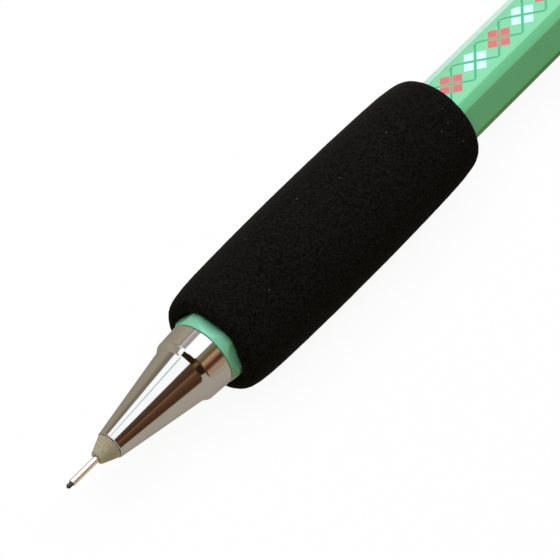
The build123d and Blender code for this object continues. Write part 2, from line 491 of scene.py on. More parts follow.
@dataclass(frozen=True)
class Graphite(Finish):
    """Lead: fine streaks along its length with a soft metallic shine.

    Attributes:
        colour: Colour of the dull lead.
        shine: Colour of its polished streaks.
        lines: Polished streaks to a millimetre along X, Y and Z.
        grains: Grains of its surface to a metre.
        depth: Height of the grains.
    """

    colour: Colour
    shine: Colour
    lines: Scales = (1.2, 16.0, 16.0)
    grains: float = 14000.0
    depth: float = 0.01 * MM

    def paint(self, recipe: Surface) -> None:
        """Sets up dull lead with polished streaks.

        Args:
            recipe: The material's node tree.
        """
        polish = recipe.streaks(recipe.axes(), self.lines, 4.0).ramp(0.4, 0.7)
        grit = recipe.noise(recipe.place(), self.grains, 2.0)
        recipe.set(
            Base_Color=recipe.blend(polish, self.colour, self.shine),
            Metallic=0.35,
            Roughness=0.62 - polish * 0.2 + (grit - 0.5) * 0.2,
        )
        recipe.bump(grit, 0.3, self.depth)


@dataclass(frozen=True)
class Foam(Finish):
    """Fine-celled foam rubber with a dry, soft face.

    Attributes:
        pit: Darkest colour of its grain.
        face: Lightest colour of its grain.
        cell: Size of a cell.
        worn: Worn patches to a metre.
        sheen: Weight of the soft shine at glancing angles.
        sheen_tint: Colour of that shine.
        dust: Colour of the stray specks of dust.
        dust_spacing: Mean distance between the specks.
        depth: Height of its relief.
    """

    pit: Colour
    face: Colour
    cell: float
    worn: float = 160.0
    sheen: float = 0.002
    sheen_tint: Colour = (1.0, 0.93, 0.80)
    dust: Colour = (0.060, 0.060, 0.055)
    dust_spacing: float = 2.6 * MM
    depth: float = 0.08 * MM

    def paint(self, recipe: Surface) -> None:
        """Sets up grainy foam with cells, worn patches and a little dust.

        Args:
            recipe: The material's node tree.
        """
        point = recipe.place()
        walls = recipe.cells(point, 1 / self.cell).ramp(0.15, 0.65)
        fluff = recipe.noise(point, 0.6 / self.cell, 5.0)
        grit = recipe.noise(point, 0.9 / self.cell, 4.0).ramp(0.3, 0.7)
        patches = recipe.noise(point, self.worn, 3.0)
        tone = grit * 0.7 + walls * 0.15 + patches * 0.15
        specks = 1 - recipe.cells(point, 1 / self.dust_spacing).ramp(0.03, 0.06)
        skin = recipe.blend(tone, self.pit, self.face)
        recipe.set(
            Base_Color=recipe.blend(specks * 0.8, skin, self.dust),
            Roughness=fluff * 0.15 + 0.85,
            Specular_IOR_Level=0.05,
            Sheen_Weight=self.sheen,
            Sheen_Tint=self.sheen_tint,
        )
        recipe.bump(walls * 0.6 + fluff, 0.5, self.depth)


@dataclass(frozen=True)
class PrintedPlastic(Finish):
    """Glossy plastic with a row of argyle diamonds printed on the upper flat.

    Attributes:
        colour: Colour of the plastic.
        first: Colour of every other diamond.
        second: Colour of the diamonds between them.
        line: Colour of the thin line diamonds.
        rubbed: Colour of the front end, drawn paler there: a painted highlight on the collar.
        highlight_end: Where that painted highlight stops, in millimetres along the pencil.
        edge_radius: Distance from the axis past which the ridges are rubbed, in millimetres.
        clouds: Faint clouds in its colour to a metre.
        ripples: Ripples of the mould to a metre.
        rubs: Rubbed spots on the ridges to a metre.
        scuffs: Scuffs to a millimetre along X, Y and Z.
        depth: Height of the ink and the ripples.
        centre: Middle of one first-colour diamond, in millimetres.
        before: Number of diamonds in front of that one.
        behind: Number of diamonds behind it.
        length: Length of a diamond along the pencil, in millimetres.
        width: Width of a diamond, in millimetres.
        offset: How far the row lies off the middle of the flat, in millimetres.
        lean: How far the print is pulled along the pencil for each millimetre across it.
        flat: Least height of the printed face, in millimetres.
        reach: How far the ink reaches from a diamond's middle, as a share of its size.
        strip: Half the width of the thinly inked strips under the lines, likewise.
        stroke: Half the width of the lines, likewise.
    """

    colour: Colour
    first: Colour
    second: Colour
    line: Colour
    rubbed: Colour
    highlight_end: float = 24.6
    edge_radius: float = 4.62
    clouds: float = 180.0
    ripples: float = 2200.0
    rubs: float = 900.0
    scuffs: Scales = (0.5, 9.0, 9.0)
    depth: float = 0.02 * MM
    centre: float = 68.45
    before: int = 7
    behind: int = 10
    length: float = 4.66
    width: float = 3.45
    offset: float = 0.58
    lean: float = 0.09
    flat: float = 4.0
    reach: float = 0.465
    strip: float = 0.06
    stroke: float = 0.045

    def paint(self, recipe: Surface) -> None:
        """Sets up glossy plastic with rubbed ridges, scuffs, the print and a painted highlight on the front end.

        Args:
            recipe: The material's node tree.
        """
        axes = recipe.axes()
        x, y, z = axes
        point = recipe.place()
        cloud = recipe.noise(point, self.clouds, 2.0)
        skin = recipe.noise(point, self.ripples, 3.0)
        radius = (y * y + z * z).root()
        ridges = radius.ramp(self.edge_radius, self.edge_radius + 0.2)
        ridges = ridges * recipe.noise(point, self.rubs, 4.0).ramp(0.4, 0.7)
        # The front end, the collar, is drawn paler and less saturated: a painted highlight.
        front = 1 - x.ramp(self.highlight_end - 1.0, self.highlight_end)
        ground = recipe.blend(cloud, lighter(self.colour, 0.96), lighter(self.colour, 1.04))
        ground = recipe.blend(ridges * 0.25, ground, lighter(self.colour, 1.25))
        ground = recipe.blend(front, ground, self.rubbed)
        colour, ink = self.print_on(recipe, ground, axes)
        scuff = recipe.streaks(axes, self.scuffs, 2.0).ramp(0.62, 0.72)
        recipe.set(
            Base_Color=colour,
            Roughness=(skin - 0.5) * 0.1 + scuff * 0.08 + ink * 0.06 + 0.22,
            IOR=1.5,
        )
        recipe.bump(skin * 0.3 + ink, 0.15, self.depth)

    def print_on(self, recipe: Surface, ground: Value, axes: Axes) -> tuple[Value, Value]:
        """Draws the row of diamonds over a ground colour.

        Args:
            recipe: The material's node tree.
            ground: Colour of the bare plastic.
            axes: The three coordinates of the point, in millimetres.

        Returns:
            The colour with the print on it, and where there is ink.
        """
        x, y, z = axes
        side = y - self.offset
        along = (x - self.centre + side * self.lean) * (1 / self.length)
        across = abs(side * (1 / self.width))
        count = along.whole()
        off = abs(along - count)
        odd = abs(count * 0.5 - (count * 0.5).whole()) * 2
        here = (z > self.flat) * (count > -0.5 - self.before) * (count < 0.5 + self.behind)
        patch = (self.reach - off - across).ramp(0.0, 0.015) * here
        gap = abs(across - off)
        thin = 1 - gap.ramp(self.strip, self.strip + 0.03)
        stroke = (1 - gap.ramp(self.stroke, self.stroke + 0.02)) * (across < 0.5) * here
        ink = recipe.blend(odd, self.first, self.second)
        colour = recipe.blend(patch * (1 - thin * 0.75), ground, ink)
        line = recipe.blend(patch * (1 - odd) * 0.4, self.line, self.first)
        return recipe.blend(stroke * 0.95, colour, line), patch


def select_only(piece: bpy.types.Object) -> None:
    """Selects a piece alone and makes it the active one.

    Args:
        piece: The piece.
    """
    bpy.ops.object.select_all(action="DESELECT")
    piece.select_set(True)
    bpy.context.view_layer.objects.active = piece


def start_piece(add: Callable[..., Any], name: str, **settings: Any) -> bpy.types.Object:
    """Adds the primitive that a piece is shaped from.

    Args:
        add: The operator that adds it.
        name: The piece's name.
        settings: Settings of the operator.

    Returns:
        The piece's object, the only one that is selected.
    """
    bpy.ops.object.select_all(action="DESELECT")
    add(**settings)
    piece = bpy.context.object
    piece.name = name
    return piece


def apply_modifier(piece: bpy.types.Object, kind: str, **settings: Any) -> None:
    """Adds a modifier to a piece and applies it.

    Args:
        piece: The piece.
        kind: The modifier's type.
        settings: Attributes of the modifier.
    """
    modifier = piece.modifiers.new(kind.lower(), kind)
    for name, setting in settings.items():
        setattr(modifier, name, setting)
    select_only(piece)
    bpy.ops.object.modifier_apply(modifier=modifier.name)


def wind(outline: bpy.types.Object, pitch: float, turns: int, steps: int) -> None:
    """Winds a closed outline round the pencil's axis into a closed coil.

    Args:
        outline: The outline, at the start of the coil.
        pitch: How far it moves along the pencil in one turn.
        turns: Number of turns.
        steps: Number of steps in a turn.
    """
    bpy.ops.object.transform_apply()
    apply_modifier(
        outline,
        "SCREW",
        axis="X",
        screw_offset=pitch,
        iterations=turns,
        steps=steps,
        render_steps=steps,
    )
    bpy.ops.object.mode_set(mode="EDIT")
    bpy.ops.mesh.select_all(action="SELECT")
    bpy.ops.mesh.fill_holes(sides=0)
    bpy.ops.mesh.select_all(action="SELECT")
    bpy.ops.mesh.normals_make_consistent(inside=False)
    bpy.ops.object.mode_set(mode="OBJECT")


@dataclass
class FoamGrip:
    """The foam sleeve, stretched over the hexagonal barrel.

    Attributes:
        front: Front end along the pencil.
        rear: Rear end.
        radius: Greatest radius.
        bore: Radius of the bore's loops before they close on the barrel.
        clearance: Gap between the bore and the barrel.
        lip: Spacing of the loops that keep the mouth's edge crisp.
        dish: How far the mouth's edge lies inside the sleeve's end.
        bulge: How far the end faces stand out over the barrel's flats, where the bore is
            stretched less than over its ridges.
        bulge_reach: How far that bulge spreads, outwards and along the sleeve.
        crook: How far the front mouth's right side has crept forward along the barrel.
        sides: Number of points round a loop before it is subdivided.
        bore_loops: Number of loops along the bore before it is subdivided.
        cell: Size of the cells that stand out on the skin.
        relief: How far the cells stand up and down.
        sunk: Share of that relief that lies below the smooth skin.
        shape: Stations from an end to the middle as (step from the end, drop from the
            greatest radius).
    """

    front: float
    rear: float
    radius: float
    bore: float = 4.85 * MM
    clearance: float = 0.05 * MM
    lip: float = 0.10 * MM
    dish: float = 0.25 * MM
    bulge: float = 0.28 * MM
    bulge_reach: float = 1.8 * MM
    crook: float = 0.5 * MM
    sides: int = 48
    bore_loops: int = 20
    cell: float = 0.5 * MM
    relief: float = 0.05 * MM
    sunk: float = 0.9
    shape: tuple[tuple[float, float], ...] = (
        (-0.16 * MM, 1.95 * MM),
        (-0.10 * MM, 1.38 * MM),
        (0.08 * MM, 1.10 * MM),
        (0.42 * MM, 0.83 * MM),
        (1.10 * MM, 0.63 * MM),
        (2.20 * MM, 0.46 * MM),
        (3.60 * MM, 0.325 * MM),
        (5.40 * MM, 0.235 * MM),
        (7.40 * MM, 0.175 * MM),
        (9.60 * MM, 0.115 * MM),
        (12.0 * MM, 0.07 * MM),
        (14.4 * MM, 0.032 * MM),
        (16.8 * MM, 0.008 * MM),
        (19.2 * MM, 0.0),
    )

    def stations(self) -> list[tuple[float, float]]:
        """Lists the loops from inside the front mouth to inside the rear one.

        Returns:
            Place along the pencil and radius of each loop.
        """
        mouth = (
            (self.dish + self.lip, self.bore),
            (self.dish, self.bore),
            (self.dish - 0.5 * self.lip, self.bore + self.lip),
        )
        half = [*mouth, *((step, self.radius - drop) for step, drop in self.shape)]
        front = [(self.front + step, radius) for step, radius in half]
        rear = [(self.rear - step, radius) for step, radius in reversed(half)]
        return [*front, *rear]

    def build(self) -> bpy.types.Object:
        """Models the sleeve.

        Returns:
            The sleeve's object, riding on its body in place of the plain solid.
        """
        sleeve = start_piece(
            bpy.ops.mesh.primitive_circle_add,
            "foam_sleeve",
            vertices=self.sides,
            radius=self.bore,
            location=(self.front + self.dish + self.lip, 0, 0),
            rotation=(0, math.pi / 2, 0),
        )
        bpy.ops.object.transform_apply()
        bpy.ops.object.mode_set(mode="EDIT")
        bpy.ops.mesh.select_all(action="SELECT")
        (x, radius), *loops = self.stations()
        for next_x, next_radius in loops:
            bpy.ops.mesh.extrude_region_move(
                TRANSFORM_OT_translate={"value": (next_x - x, 0, 0)}
            )
            scale = next_radius / radius
            bpy.ops.transform.resize(value=(1, scale, scale), center_override=(next_x, 0, 0))
            x, radius = next_x, next_radius
        bpy.ops.mesh.select_all(action="DESELECT")
        bpy.ops.mesh.select_non_manifold()
        bpy.ops.mesh.bridge_edge_loops(number_cuts=self.bore_loops)
        bpy.ops.mesh.select_all(action="SELECT")
        bpy.ops.mesh.normals_make_consistent(inside=False)
        bpy.ops.object.mode_set(mode="OBJECT")
        self.finish_surface(sleeve)
        return sleeve

    def finish_surface(self, sleeve: bpy.types.Object) -> None:
        """Refines the sleeve, closes its bore on the barrel and raises its cells.

        Args:
            sleeve: The sleeve's object.
        """
        apply_modifier(sleeve, "SUBSURF", levels=2, render_levels=2)
        bore_limit = self.bore + 0.5 * self.lip
        bore = sleeve.vertex_groups.new(name="bore")
        skin = sleeve.vertex_groups.new(name="skin")
        for vertex in sleeve.data.vertices:
            inside = math.hypot(vertex.co.y, vertex.co.z) < bore_limit
            group = bore if inside else skin
            group.add([vertex.index], 1.0, "REPLACE")
        apply_modifier(
            sleeve,
            "SHRINKWRAP",
            target=frame["nodes"]["barrel"],
            wrap_method="NEAREST_SURFACEPOINT",
            wrap_mode="OUTSIDE",
            offset=self.clearance,
            vertex_group=bore.name,
        )
        self.bulge_mouths(sleeve)
        cells = bpy.data.textures.new("foam_cells", "CLOUDS")
        cells.noise_scale = self.cell
        cells.noise_depth = 2
        apply_modifier(
            sleeve,
            "DISPLACE",
            texture=cells,
            texture_coords="LOCAL",
            strength=self.relief,
            mid_level=self.sunk,
            vertex_group=skin.name,
        )
        select_only(sleeve)
        bpy.ops.object.shade_smooth_by_angle(angle=SOFT_CREASE)
        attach(sleeve, "grip_body")
        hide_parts("foam_grip")

    def bulge_mouths(self, sleeve: bpy.types.Object) -> None:
        """Pushes the end faces outwards beside the barrel's flats, and the front one askew.

        Args:
            sleeve: The sleeve's object.
        """
        middle = (self.front + self.rear) / 2
        for vertex in sleeve.data.vertices:
            x, y, z = vertex.co
            depth = min(x - self.front, self.rear - x)
            away = max(0.0, math.hypot(y, z) - self.bore) + max(0.0, depth)
            fade = max(0.0, 1 - away / self.bulge_reach) ** 2
            flat = (1 + math.cos(BARREL_SIDES * math.atan2(y, z))) / 2
            push = self.bulge * flat
            if x < middle:
                right = -y / math.hypot(y, z)
                push += self.crook * max(0.0, 2 * right - 1)
            vertex.co.x += math.copysign(push * fade, x - middle)


@dataclass
class ReturnSpring:
    """The spring inside the front of the barrel, squeezed as the button is pressed.

    Attributes:
        front: Front end along the pencil.
        rear: Rear end.
        radius: Greatest radius of the coil.
        travel: How far the button squeezes it; not used.
        wire: Radius of the wire.
        turns: Number of turns.
        steps: Number of steps in a turn.
        sides: Number of points round the wire.
    """

    front: float
    rear: float
    radius: float
    travel: float
    wire: float = 0.16 * MM
    turns: int = 7
    steps: int = 40
    sides: int = 12

    def build(self) -> bpy.types.Object:
        """Models the spring as one wound wire.

        Returns:
            The spring's object, in place of the plain solid.
        """
        length = self.rear - self.front
        spring = start_piece(
            bpy.ops.mesh.primitive_circle_add,
            "coil_spring",
            vertices=self.sides,
            radius=self.wire,
            location=(self.front + self.wire, self.radius - self.wire, 0),
        )
        wind(spring, (length - 2 * self.wire) / self.turns, self.turns, self.steps)
        bpy.ops.object.shade_smooth_by_angle(angle=SOFT_CREASE)
        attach(spring, "barrel_body")
        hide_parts("return_spring")
        1 - self.travel / length
        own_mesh(spring)
        return spring


@dataclass
class ThreadedBush:
    """The brass bush that the front cone screws on to, with its thread cut.

    Attributes:
        front: Where the groove starts along the pencil.
        crest: Outer radius of the thread.
        pitch: Length of one turn.
        turns: Number of turns of the groove.
        depth: Depth of the groove below the crest.
        proud: How far the cutting tool stands out over the crest.
        steps: Number of steps in a turn.
        weld: Distance within which points of the plain bush are one.
    """

    front: float = 18.9 * MM
    crest: float = 3.2 * MM
    pitch: float = 0.8 * MM
    turns: int = 4
    depth: float = 0.34 * MM
    proud: float = 0.14 * MM
    steps: int = 64
    weld: float = 0.001 * MM

    def build(self) -> bpy.types.Object:
        """Cuts the thread into a copy of the plain bush.

        Returns:
            The bush's object, in place of the plain solid.
        """
        plain = frame["nodes"]["thread_bush"]
        bush = bpy.data.objects.new("threaded_bush", plain.data.copy())
        bpy.context.scene.collection.objects.link(bush)
        select_only(bush)
        bpy.ops.object.mode_set(mode="EDIT")
        bpy.ops.mesh.select_all(action="SELECT")
        bpy.ops.mesh.remove_doubles(threshold=self.weld)
        bpy.ops.object.mode_set(mode="OBJECT")
        cutter = self.cutter()
        apply_modifier(bush, "BOOLEAN", object=cutter, operation="DIFFERENCE", solver="EXACT")
        bpy.data.objects.remove(cutter)
        bpy.ops.object.shade_smooth_by_angle(angle=CUT_CREASE)
        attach(bush, "barrel_body")
        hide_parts("thread_bush")
        return bush

    def cutter(self) -> bpy.types.Object:
        """Models the groove as a wound three-sided bar.

        Returns:
            The bar's object.
        """
        # A triangle with equal sides is 1.5 times as high as the radius of its circle.
        size = (self.depth + self.proud) / 1.5
        bar = start_piece(
            bpy.ops.mesh.primitive_circle_add,
            "thread_cutter",
            vertices=3,
            radius=size,
            location=(self.front, self.crest - self.depth + size, 0),
            rotation=(0, 0, math.pi),
        )
        wind(bar, self.pitch, self.turns, self.steps)
        return bar


def seen_directly(recipe: Recipe) -> Value:
    """1 for what the camera, a mirror or glass shows, 0 for light on its way to a surface.

    Args:
        recipe: The node tree that asks.

    Returns:
        The mask.
    """
    names = ("Is Camera Ray", "Is Glossy Ray", "Is Transmission Ray")
    camera, mirror, glass = (
        recipe.node("ShaderNodeLightPath", {}, {}, name) for name in names
    )
    return camera.larger(mirror).larger(glass)


class Tone(Enum):
    """Colours of the room that the polished metal mirrors."""

    BRIGHT_WINDOW = (2.6, 2.8, 3.2)
    SKY = (1.85, 2.0, 2.25)
    WINDOW = (1.7, 1.77, 1.78)
    NET_CURTAIN = (1.5, 1.6, 1.8)
    WINDOW_BAR = (0.76, 0.83, 0.90)
    LIT_WALL = (0.90, 0.83, 0.74)
    GREY_WALL = (0.59, 0.53, 0.50)
    PALE_WALL = (0.58, 0.52, 0.40)
    WALL = (0.52, 0.42, 0.31)
    SHADED_WALL = (0.47, 0.43, 0.36)
    DIM_WALL = (0.28, 0.255, 0.185)
    PAPER = (0.66, 0.57, 0.455)
    TABLE = (0.58, 0.49, 0.38)
    PINE = (0.65, 0.42, 0.24)
    BOARD = (0.55, 0.39, 0.26)
    CURTAIN = (0.335, 0.29, 0.185)
    CORNER = (0.23, 0.145, 0.06)
    OAK = (0.24, 0.135, 0.076)
    WALNUT = (0.13, 0.072, 0.04)
    CHERRY = (0.15, 0.067, 0.034)
    MAHOGANY = (0.16, 0.044, 0.019)
    DARK_WOOD = (0.098, 0.046, 0.02)
    SHADE = (0.035, 0.018, 0.008)


# What each form mirrors: the tone between two angles from straight up, in degrees towards -Y.
# Tones run into each other from one span to the next.
Tones = tuple[tuple[float, float, Tone], ...]
SHOULDER_TONES = (
    (-100.0, -47.0, Tone.WALL),
    (-44.0, -32.5, Tone.WINDOW),
    (-30.0, 20.0, Tone.SHADE),
    (26.0, 34.0, Tone.CORNER),
    (39.0, 70.0, Tone.SHADE),
    (74.0, 74.0, Tone.TABLE),
    (100.0, 100.0, Tone.PAPER),
)
EDGE_TONES = (
    (-100.0, -37.0, Tone.PALE_WALL),
    (-33.0, 11.0, Tone.WINDOW),
    (14.5, 14.5, Tone.WALNUT),
    (78.0, 78.0, Tone.DARK_WOOD),
    (84.0, 84.0, Tone.TABLE),
    (100.0, 100.0, Tone.PAPER),
)
CONE_TONES = (
    (-100.0, -78.0, Tone.WALL),
    (-61.0, -50.0, Tone.DIM_WALL),
    (-46.0, -27.0, Tone.WINDOW),
    (-26.0, -22.0, Tone.WINDOW_BAR),
    (-21.0, 11.0, Tone.WINDOW),
    (14.5, 23.0, Tone.WALNUT),
    (36.0, 39.5, Tone.DARK_WOOD),
    (44.0, 49.0, Tone.OAK),
    (54.0, 60.0, Tone.CHERRY),
    (72.0, 84.5, Tone.DARK_WOOD),
    (89.0, 89.0, Tone.TABLE),
    (100.0, 100.0, Tone.PAPER),
)
BAND_TONES = (
    (-100.0, -100.0, Tone.WALL),
    (-73.0, -58.0, Tone.PALE_WALL),
    (-54.0, -50.0, Tone.SHADED_WALL),
    (-47.0, -44.5, Tone.LIT_WALL),
    (-41.0, -30.0, Tone.GREY_WALL),
    (-26.0, 13.5, Tone.SKY),
    (16.5, 22.5, Tone.CURTAIN),
    (31.0, 35.0, Tone.CORNER),
    (40.0, 44.0, Tone.PINE),
    (57.0, 64.0, Tone.MAHOGANY),
    (73.0, 85.0, Tone.BOARD),
    (100.0, 100.0, Tone.PAPER),
)
BARREL_TONES = (
    (-100.0, -70.0, Tone.NET_CURTAIN),
    (-40.0, 13.5, Tone.BRIGHT_WINDOW),
    (30.0, 30.0, Tone.CURTAIN),
    (60.0, 100.0, Tone.CORNER),
)


@dataclass(frozen=True)
class Zone:
    """A length of the screen about the pencil with tones of its own.

    Attributes:
        start: Where it takes over along the pencil, in millimetres.
        fade: Length over which it does so, in millimetres.
        tones: Its tones.
    """

    start: float
    fade: float
    tones: Tones


@dataclass(frozen=True)
class Tent:
    """A round screen about the pencil that polished metal mirrors.

    Attributes:
        front: Tones of its front end.
        zones: Its further lengths, from the tip's side to the button's.
        start: Where it starts along the pencil.
        end: Where it ends along the pencil.
        radius: Its radius about the pencil's axis.
        panels: Number of flat panels round it.
        widest: The greatest angle that the tones reach to either side, in degrees.
    """

    front: Tones
    zones: tuple[Zone, ...]
    start: float = -0.45
    end: float = 1.0
    radius: float = 0.45
    panels: int = 128
    widest: float = 100.0

    def stand(self) -> bpy.types.Object:
        """Sets the screen up; its lower part is under the floor.

        Returns:
            The screen's object, seen only in reflections.
        """
        tent = start_piece(
            bpy.ops.mesh.primitive_cylinder_add,
            "tent",
            vertices=self.panels,
            radius=self.radius,
            depth=self.end - self.start,
            end_fill_type="NOTHING",
            location=((self.start + self.end) / 2, 0, 0),
            rotation=(0, math.pi / 2, 0),
        )
        bpy.ops.object.transform_apply()
        recipe = Surface("tent")
        x, y, z = recipe.axes()
        angle = (0 - y).angle_over(z) * math.degrees(1.0)
        colour = self.painted(recipe, angle, self.front)
        for zone in self.zones:
            reach = x.ramp(zone.start - zone.fade / 2, zone.start + zone.fade / 2)
            colour = recipe.blend(reach, colour, self.painted(recipe, angle, zone.tones))
        show_in_mirrors(tent, recipe, colour)
        return tent

    def painted(self, recipe: Recipe, angle: Value, tones: Tones) -> Value:
        """Spreads tones over the angle about the pencil.

        Args:
            recipe: The screen's node tree.
            angle: The angle from straight up, in degrees.
            tones: The tones.

        Returns:
            The colour at each angle.
        """
        stops = tuple(
            (0.5 + 0.5 * end / self.widest, tone.value)
            for low, high, tone in tones
            for end in sorted({low, high})
        )
        share = angle * (0.5 / self.widest) + 0.5
        return recipe.node("ShaderNodeValToRGB", {"stops": stops}, {0: share})


def show_in_mirrors(
    screen: bpy.types.Object, recipe: Surface, colour: Any, share: Any = 1.0
) -> None:
    """Makes a screen glow in reflections only.

    Args:
        screen: The screen's object.
        recipe: Node tree of its material.
        colour: Its colour, a value or three numbers.
        share: How much of it shows, from 0, clear, to 1.
    """
    glow = recipe.node("ShaderNodeEmission", {}, {"Color": colour})
    clear = recipe.node("ShaderNodeBsdfTransparent", {}, {})
    mixed = recipe.node("ShaderNodeMixShader", {}, {0: share, 1: clear, 2: glow})
    recipe.show("Material Output", mixed)
    screen.data.materials.append(recipe.material)
    screen.visible_camera = False
    screen.visible_diffuse = False
    screen.visible_shadow = False
    screen.visible_transmission = False


@dataclass(frozen=True)
class Card:
    """A card that lies on the floor and shows only in polished metal and plastic.

    Attributes:
        name: The card's name.
        low: Its corner with the least x and y.
        high: Its corner with the greatest x and y.
        colour: Its colour.
        lift: How far it lies above the floor.
        fade: Length of its front end over which it fades in.
    """

    name: str
    low: tuple[float, float]
    high: tuple[float, float]
    colour: Colour
    lift: float = 0.1 * MM
    fade: float = 0.1 * MM

    def lay(self, floor_height: float) -> bpy.types.Object:
        """Lays the card down.

        Args:
            floor_height: Height of the floor.

        Returns:
            The card's object.
        """
        middle = [(low + high) / 2 for low, high in zip(self.low, self.high)]
        sides = [high - low for low, high in zip(self.low, self.high)]
        card = start_piece(
            bpy.ops.mesh.primitive_plane_add,
            self.name,
            size=1.0,
            location=(*middle, floor_height + self.lift),
        )
        bpy.ops.transform.resize(value=(*sides, 1.0))
        bpy.ops.object.transform_apply()
        recipe = Surface(self.name)
        x, _, _ = recipe.axes()
        share = x.ramp(self.low[0] / MM, (self.low[0] + self.fade) / MM)
        show_in_mirrors(card, recipe, self.colour, share)
        return card


@dataclass(frozen=True)
class Lamp:
    """A wide soft lamp above the pencil, to its left.

    Attributes:
        length: Its length along the pencil.
        width: Its width.
        power: Its power in watts.
        colour: Its colour.
        place: Where its middle hangs along the pencil.
        distance: How far it hangs from the pencil's axis.
        lean: How far it stands to the left of straight above, in degrees.
    """

    length: float = 0.7
    width: float = 0.6
    power: float = 5.2
    colour: Colour = (1.0, 0.99, 1.12)
    place: float = 0.06
    distance: float = 0.6
    lean: float = 10.0

    def hang(self) -> bpy.types.Object:
        """Hangs the lamp, facing the pencil.

        Returns:
            The lamp's object, which mirrors don't show.
        """
        lamp = bpy.data.lights.new("softbox", "AREA")
        lamp.shape = "RECTANGLE"
        lamp.size = self.length
        lamp.size_y = self.width
        lamp.energy = self.power
        lamp.color = self.colour
        holder = bpy.data.objects.new("softbox", lamp)
        bpy.context.scene.collection.objects.link(holder)
        lean = math.radians(self.lean)
        left = math.sin(lean) * self.distance
        height = math.cos(lean) * self.distance
        holder.location = (self.place, left, height)
        holder.rotation_euler = (-lean, 0, 0)
        holder.visible_glossy = False
        return holder


@dataclass(frozen=True)
class Studio:
    """Floor, lamp and room, with the screen and the cards that polished metal mirrors.

    Attributes:
        floor_height: Height of the floor, where the grip rests.
        floor_size: Length of the floor's sides.
        paper: Darkest and lightest colour of the floor's paper.
        fibres: Fibres of the paper to a metre.
        whiteness: How far the paper is seen as plain white.
        bounce: Colour of the light that the floor throws back.
        room: Colour of the light from all round.
        room_strength: Strength of that light.
        lamp: The lamp.
        tent: The screen about the pencil.
        cards: The cards on the floor beside it.
    """

    floor_height: float
    floor_size: float = 6.0
    paper: tuple[Colour, Colour] = ((0.82, 0.82, 0.81), (0.88, 0.88, 0.87))
    fibres: float = 900.0
    whiteness: float = 0.94
    bounce: Colour = (0.40, 0.34, 0.11)
    room: Colour = (1.0, 0.81, 0.24)
    room_strength: float = 0.12
    lamp: Lamp = Lamp()
    tent: Tent = Tent(
        front=SHOULDER_TONES,
        zones=(
            Zone(start=-190.0, fade=60.0, tones=EDGE_TONES),
            Zone(start=30.0, fade=30.0, tones=CONE_TONES),
            Zone(start=125.0, fade=30.0, tones=BAND_TONES),
            Zone(start=240.0, fade=60.0, tones=BARREL_TONES),
        ),
    )
    cards: tuple[Card, ...] = (
        Card("right_card", (-0.4, -0.45), (0.4, 0.0), (0.59, 0.53, 0.44)),
        Card("left_card", (-0.4, 0.0), (0.4, 0.45), (0.52, 0.47, 0.36)),
        # A dark card along the barrel's right side: a painted shadow of the floor there, seen only in reflections.
        Card(
            "barrel_shadow_card",
            (0.03, -0.09),
            (0.4, 0.0),
            (0.16, 0.15, 0.08),
            lift=0.3 * MM,
            fade=0.06,
        ),
        # A glowing card along the barrel's left side: a painted highlight, seen only in reflections.
        Card(
            "barrel_highlight_card",
            (0.03, 0.0),
            (0.4, 0.04),
            (1.25, 1.35, 1.45),
            lift=0.3 * MM,
            fade=0.06,
        ),
    )

    def build(self) -> None:
        """Sets up the floor, the lamp, the screen, the cards and the room's light."""
        self.lay_floor()
        self.lamp.hang()
        self.tent.stand()
        for card in self.cards:
            card.lay(self.floor_height)
        self.light_room()

    def lay_floor(self) -> None:
        """Lays a pale paper floor that is seen near white and keeps a faint shadow."""
        floor = start_piece(
            bpy.ops.mesh.primitive_plane_add,
            "floor",
            size=self.floor_size,
            location=(0, 0, self.floor_height),
        )
        recipe = Surface("floor_paper")
        fibre = recipe.noise(recipe.place(), self.fibres, 3.0)
        seen = seen_directly(recipe)
        recipe.set(
            Base_Color=recipe.blend(seen, self.bounce, recipe.blend(fibre, *self.paper)),
            Roughness=0.9,
            Specular_IOR_Level=0.1,
        )
        paper = Value(recipe, recipe.shader.outputs[0])
        white = recipe.node("ShaderNodeEmission", {}, {"Color": WHITE})
        layers = {0: seen * self.whiteness, 1: paper, 2: white}
        recipe.show("Material Output", recipe.node("ShaderNodeMixShader", {}, layers))
        floor.data.materials.append(recipe.material)

    def light_room(self) -> None:
        """Lights the room softly, white where the camera or a mirror sees past the floor."""
        world = bpy.data.worlds.new("room")
        bpy.context.scene.world = world
        world.use_nodes = True
        recipe = Recipe(world.node_tree)
        soft = {"Color": self.room, "Strength": self.room_strength}
        dim = recipe.node("ShaderNodeBackground", {}, soft)
        white = recipe.node("ShaderNodeBackground", {}, {"Color": WHITE})
        layers = {0: seen_directly(recipe), 1: dim, 2: white}
        recipe.show("World Output", recipe.node("ShaderNodeMixShader", {}, layers))


